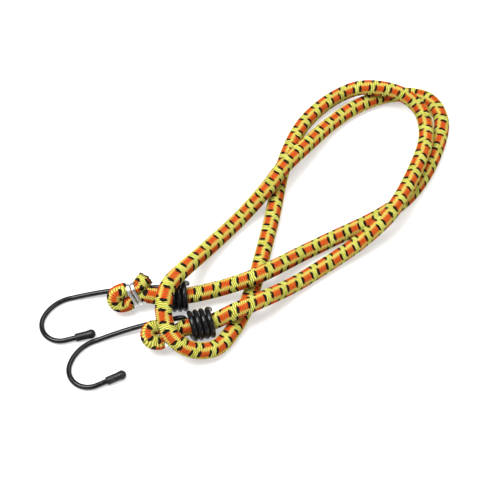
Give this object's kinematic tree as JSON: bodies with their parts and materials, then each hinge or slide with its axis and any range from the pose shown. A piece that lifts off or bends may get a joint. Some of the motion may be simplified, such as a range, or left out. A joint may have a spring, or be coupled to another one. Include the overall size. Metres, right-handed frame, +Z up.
{
  "type": "bungee cord",
  "caption": "Braided elastic cord lying in loose loops, with a coiled wire hook at each end that swivels round the cord beside a clipped stopper knot.",
  "frame": {"origin": "on the surface that the cord lies on, under the middle of the whole bundle's box", "axes": "+Z up off that surface, +X along the bundle's longest extent from the hooks towards the loops, +Y away from the picture's camera"},
  "size_m": [0.2063, 0.1781, 0.0253],
  "materials": {
    "sheath": "braided textile, matte, orange blocks on yellow and lime with black ticks",
    "rubber": "natural latex, satin",
    "coated_wire": "glossy black plastic coating",
    "cap": "satin black",
    "clip": "bright zinc"
  },
  "bodies": {
    "cord": {"braided_sheath": "sheath", "rubber_strand_1": "rubber", "rubber_strand_2": "rubber", "rubber_strand_3": "rubber", "rubber_strand_4": "rubber", "rubber_strand_5": "rubber", "rubber_strand_6": "rubber", "rubber_strand_7": "rubber", "rear_crimp_clip": "clip", "front_crimp_clip": "clip"},
    "rear_hook": {"rear_hook_wire": "coated_wire", "rear_tip_cap": "cap"},
    "front_hook": {"front_hook_wire": "coated_wire", "front_tip_cap": "cap"}
  },
  "joints": [
    {"name": "rear_hook_swivel", "type": "hinge", "parent": "cord", "child": "rear_hook", "pos_m": [-0.03865, -0.04285, 0.0075], "axis": [-0.9972, -0.075, 0], "range_deg": [0, 180]},
    {"name": "front_hook_swivel", "type": "hinge", "parent": "cord", "child": "front_hook", "pos_m": [-0.02644, -0.05805, 0.0075], "axis": [-0.9709, -0.2394, 0], "range_deg": [0, 80]}
  ]
}
